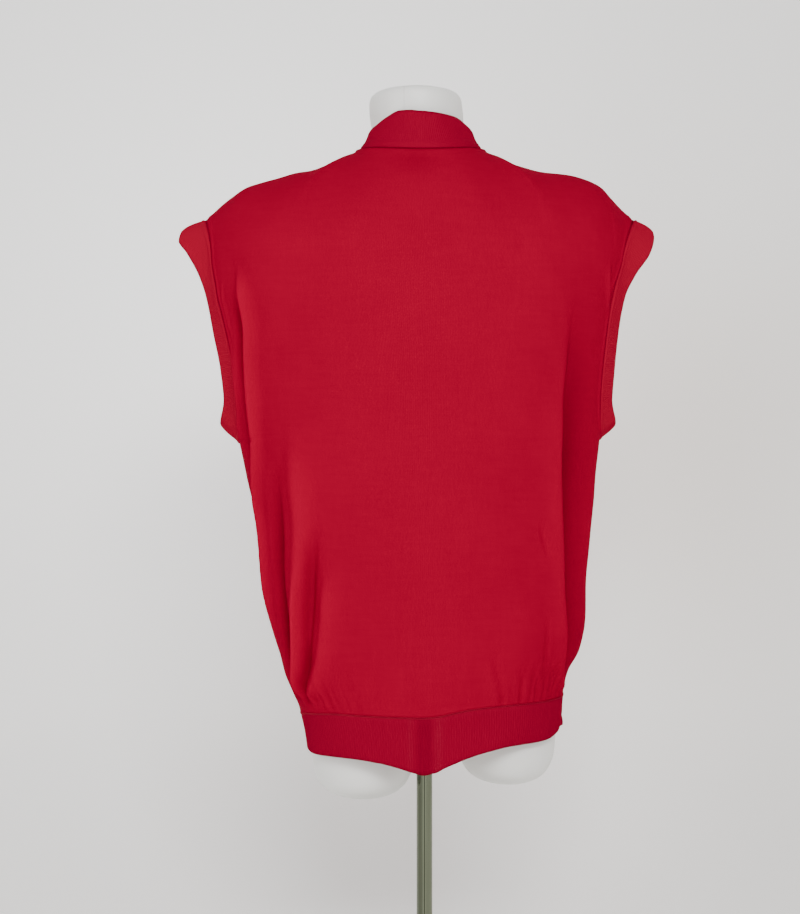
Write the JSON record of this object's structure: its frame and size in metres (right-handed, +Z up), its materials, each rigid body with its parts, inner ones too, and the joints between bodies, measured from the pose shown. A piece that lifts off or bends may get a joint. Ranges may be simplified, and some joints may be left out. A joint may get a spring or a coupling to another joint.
{
  "type": "knitted sweater vest on a limbless dress form with a pole stand",
  "caption": "Sleeveless knitted pullover with a V neck and ribbed neckband, armhole bands and hem, worn by a smooth limbless dress form on a pole and round base plate.",
  "frame": {"origin": "centre of the base plate's underside, on the pole's axis", "axes": "+Z up along the pole; the wearer's front faces -Y and the wearer's left is +X"},
  "size_m": [0.5569, 0.36, 1.1262],
  "materials": {
    "red_jersey": "fine plain knit, matt with a faint sheen",
    "red_rib": "ribbed knit, matt",
    "white_plastic": "smooth satin off-white",
    "polished_steel": "polished, dark grey reflections",
    "steel": "satin"
  },
  "bodies": {
    "root": {"back_panel": "red_jersey", "front_panel": "red_jersey", "hem_rib_back": "red_rib", "hem_rib_front": "red_rib", "armhole_band_left": "red_rib", "armhole_band_right": "red_rib", "neckband": "red_rib", "form_body": "white_plastic", "pole": "polished_steel", "pole_hub": "steel", "base_plate": "steel"}
  },
  "joints": []
}
